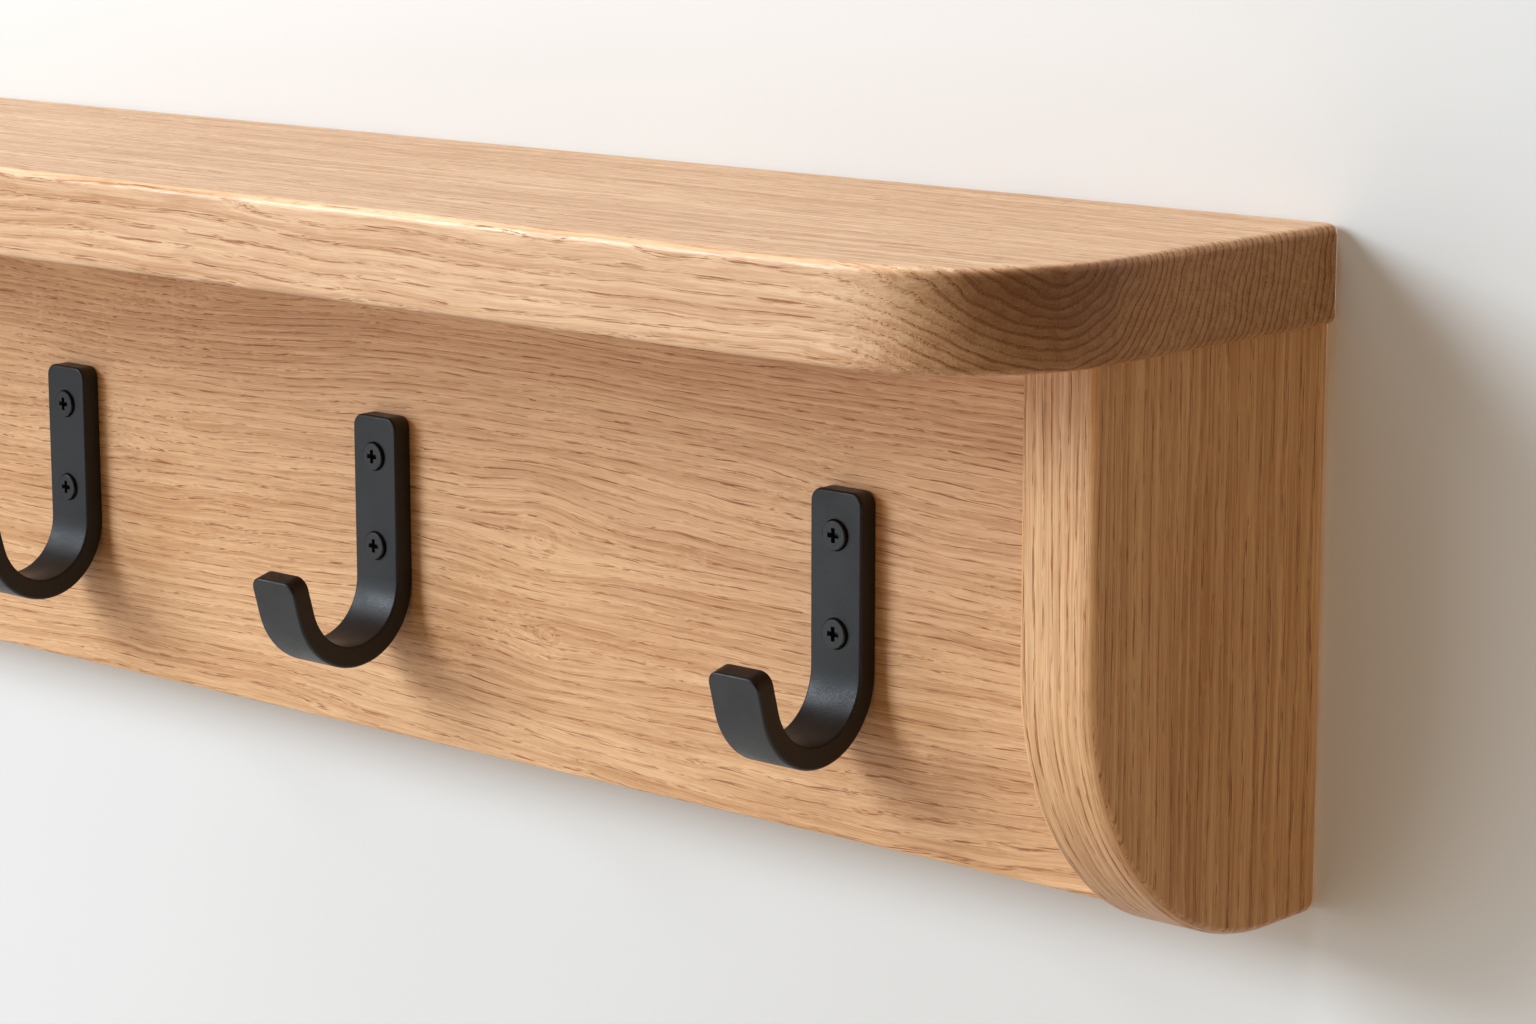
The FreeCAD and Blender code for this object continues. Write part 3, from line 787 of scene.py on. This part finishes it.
class RACK_OT_dowels(bpy.types.Operator):
    """Finish the dowels in plain pale wood, grain along each dowel"""

    bl_idname = "rack.dowels"
    bl_label = "Dowels"

    def execute(self, context):
        oak = context.scene.rack_oak
        plain = {
            "spacing": 1.6,
            "wander": 2.0,
            "ripple": 0.3,
            "tint": (1.1, 1.1, 1.1),
            "pore_amount": 0.3,
        }
        upright = oak_material(
            "dowel_upright", oak, "ZXY", (0, 0, 1), (0, 0, 40), seed=5.0, **plain)
        level = oak_material(
            "dowel_level", oak, "XYZ", (1, 0, 0), (0, 40, 0), seed=9.0, **plain)
        for name in DOWELS:
            dress(name, level if "board_" in name else upright)
        return {"FINISHED"}


def stage_plane(name, corners, material):
    """One-sided plane that catches the object's shadow and lets all other light through."""
    mesh = bpy.data.meshes.new(name)
    mesh.from_pydata(corners, [], [tuple(range(len(corners)))])
    plane = bpy.data.objects.new(name, mesh)
    mesh.materials.append(material)
    bpy.context.scene.collection.objects.link(plane)
    plane.visible_shadow = False
    plane.visible_diffuse = False
    return plane


def area_light(name, place, aim, size, power, colour):
    """Flat soft light, width by height, that points at a place."""
    lamp = bpy.data.lights.new(name, "AREA")
    lamp.shape = "RECTANGLE"
    lamp.size, lamp.size_y = size
    lamp.energy = power
    lamp.color = colour
    holder = bpy.data.objects.new(name, lamp)
    holder.location = place
    holder.rotation_euler = (Vector(aim) - Vector(place)).to_track_quat("-Z", "Y").to_euler()
    bpy.context.scene.collection.objects.link(holder)
    return holder


def studio_world(strength, backdrop):
    """Even warm light from all round, fainter in reflections, in front of a pale backdrop."""
    world = bpy.data.worlds.new("studio")
    world.use_nodes = True
    tree = world.node_tree
    tree.nodes.clear()
    graph = Graph(tree)
    rays = graph.add("ShaderNodeLightPath").outputs
    power = graph.blend(rays["Is Glossy Ray"], strength, strength * REFLECTED_AMBIENT)
    glow = graph.add("ShaderNodeBackground", Color=AMBIENT_COLOUR, Strength=power)
    pale = graph.add("ShaderNodeBackground", Color=(*backdrop, 1), Strength=1.0)
    choice = graph.add("ShaderNodeMixShader", Fac=rays["Is Camera Ray"])
    tree.links.new(glow.outputs[0], choice.inputs[1])
    tree.links.new(pale.outputs[0], choice.inputs[2])
    output = tree.nodes.new("ShaderNodeOutputWorld")
    tree.links.new(choice.outputs[0], output.inputs["Surface"])
    return world


class RACK_OT_stage(bpy.types.Operator):
    """Add the pale wall and floor, the soft lights and the camera"""

    bl_idname = "rack.stage"
    bl_label = "Stage"

    def execute(self, context):
        stage = context.scene.rack_stage
        low, high = CAD_BOX
        left, right = -STAGE_REACH, STAGE_REACH
        wall_plane = high.y + WALL_GAP
        ground = -stage.floor_drop
        wall_corners = [
            (left, wall_plane, ground),
            (right, wall_plane, ground),
            (right, wall_plane, STAGE_REACH),
            (left, wall_plane, STAGE_REACH),
        ]
        floor_corners = [
            (left, -STAGE_REACH, ground),
            (right, -STAGE_REACH, ground),
            (right, STAGE_REACH, ground),
            (left, STAGE_REACH, ground),
        ]
        wall_paint = stage_material("wall_paint", stage.wall)
        floor_paint = stage_material("floor_paint", stage.wall, FLOOR_GLOW)
        stage_plane("stage_wall", wall_corners, wall_paint)
        stage_plane("stage_floor", floor_corners, floor_paint)

        context.scene.world = studio_world(stage.ambient, stage.wall)
        context.scene.view_settings.view_transform = "Standard"

        target = Vector((high.x - AIM_FROM_END, low.y / 2, (low.z + high.z) / 2))
        for name, offset, size, colour in FRONT_LIGHTS:
            area_light(name, target + offset, target, size, getattr(stage, name + "_power"), colour)
        middle = Vector((0, 0, (low.z + high.z) / 2))
        behind = middle + Vector((0, REAR_LIGHT_DISTANCE, 0))
        rear_size = (0.8 * (high.x - low.x), 0.7 * (high.z - low.z))
        area_light("rear", behind, middle, rear_size, stage.rear_power, (1, 1, 1))

        lens = bpy.data.cameras.new("camera")
        lens.sensor_width = SENSOR_WIDTH
        lens.lens = stage.lens
        camera = bpy.data.objects.new("camera", lens)
        corner = Vector((high.x, low.y, high.z))
        camera.location = corner + Vector(CAMERA_FROM_CORNER)
        camera.rotation_euler = (math.pi / 2 - stage.elevation, 0, stage.azimuth)
        context.scene.collection.objects.link(camera)
        context.scene.camera = camera
        return {"FINISHED"}


class RACK_PT_panel(bpy.types.Panel):
    """Lists the rack's settings and operators"""

    bl_idname = "RACK_PT_panel"
    bl_label = "Wall hook rack"
    bl_space_type = "VIEW_3D"
    bl_region_type = "UI"
    bl_category = "Rack"

    def draw(self, context):
        for group in (context.scene.rack_oak, context.scene.rack_metal, context.scene.rack_stage):
            for name in group.bl_rna.properties.keys():
                if name not in ("rna_type", "name"):
                    self.layout.prop(group, name)
        for operator in OPERATORS:
            self.layout.operator(operator.bl_idname)


OPERATORS = (
    RACK_OT_shelf,
    RACK_OT_board,
    RACK_OT_brackets,
    RACK_OT_hooks,
    RACK_OT_hook_screws,
    RACK_OT_hangers,
    RACK_OT_dowels,
    RACK_OT_stage,
)
SETTINGS = (("rack_oak", OakSettings), ("rack_metal", MetalSettings), ("rack_stage", StageSettings))


def register():
    for name, group in SETTINGS:
        bpy.utils.register_class(group)
        setattr(bpy.types.Scene, name, bpy.props.PointerProperty(type=group))
    for operator in OPERATORS:
        bpy.utils.register_class(operator)
    bpy.utils.register_class(RACK_PT_panel)


def unregister():
    bpy.utils.unregister_class(RACK_PT_panel)
    for operator in reversed(OPERATORS):
        bpy.utils.unregister_class(operator)
    for name, group in reversed(SETTINGS):
        delattr(bpy.types.Scene, name)
        bpy.utils.unregister_class(group)


def main():
    register()
    for operator in OPERATORS:
        module, name = operator.bl_idname.split(".")
        getattr(getattr(bpy.ops, module), name)()


if __name__ == "__main__":
    main()
